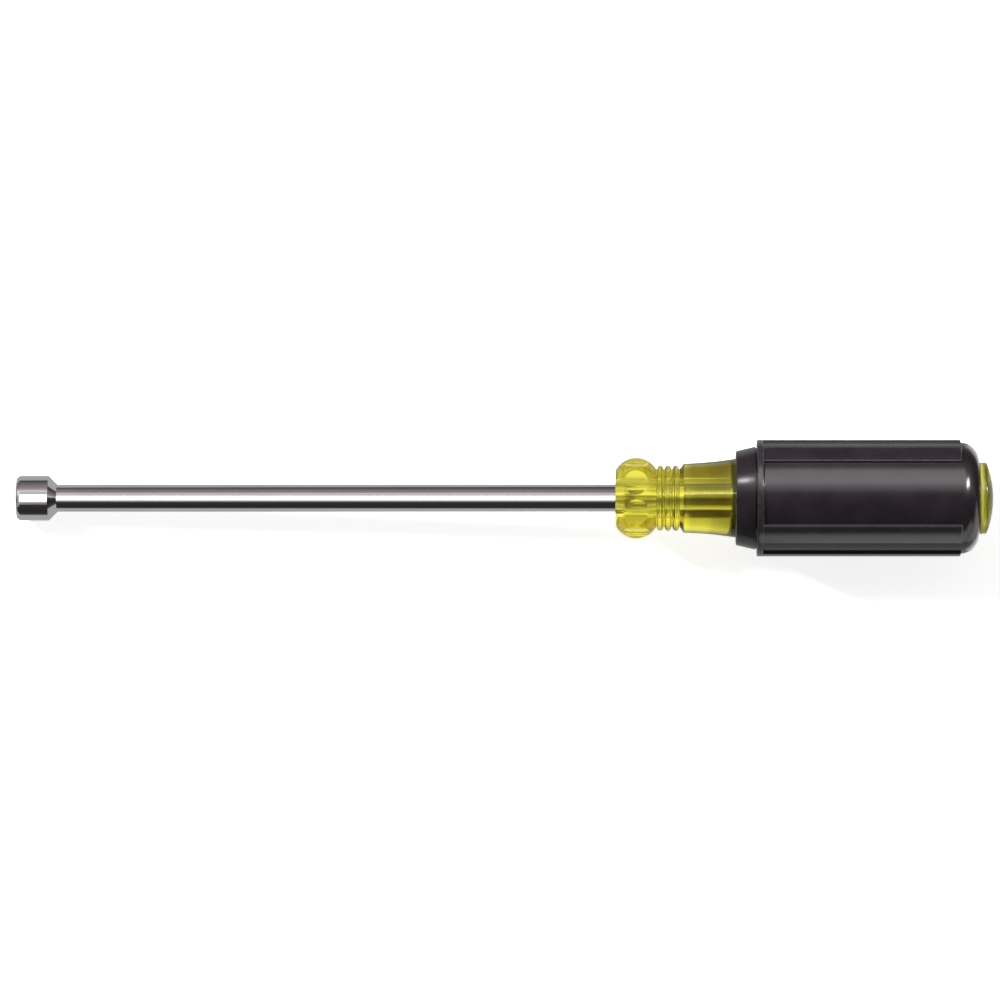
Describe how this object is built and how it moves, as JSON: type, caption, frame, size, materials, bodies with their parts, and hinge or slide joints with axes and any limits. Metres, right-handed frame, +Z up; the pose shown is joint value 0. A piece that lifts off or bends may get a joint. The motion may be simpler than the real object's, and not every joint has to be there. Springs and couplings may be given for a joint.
{
  "type": "nut driver",
  "caption": "Hollow-shaft nut driver: bright steel hex socket and tube, clear yellow handle with a scalloped bolster and grip rings, ribbed black cushion sleeve and domed end cap.",
  "frame": {"origin": "centre of the hex socket's mouth, on the shaft's axis", "axes": "+X along the shaft from the socket to the handle's end, +Z up as the driver lies, with the sleeve's wide upper panel facing +Z"},
  "size_m": [0.2483, 0.0296, 0.0296],
  "materials": {
    "chrome": "bright nickel-chrome plate",
    "clear_yellow": "clear polished acetate",
    "black_vinyl": "satin moulded vinyl",
    "clear_cap": "clear polished acetate"
  },
  "bodies": {
    "root": {"hex_socket": "chrome", "hollow_shaft": "chrome", "handle_core": "clear_yellow", "cushion_grip": "black_vinyl", "end_cap": "clear_cap"}
  },
  "joints": []
}
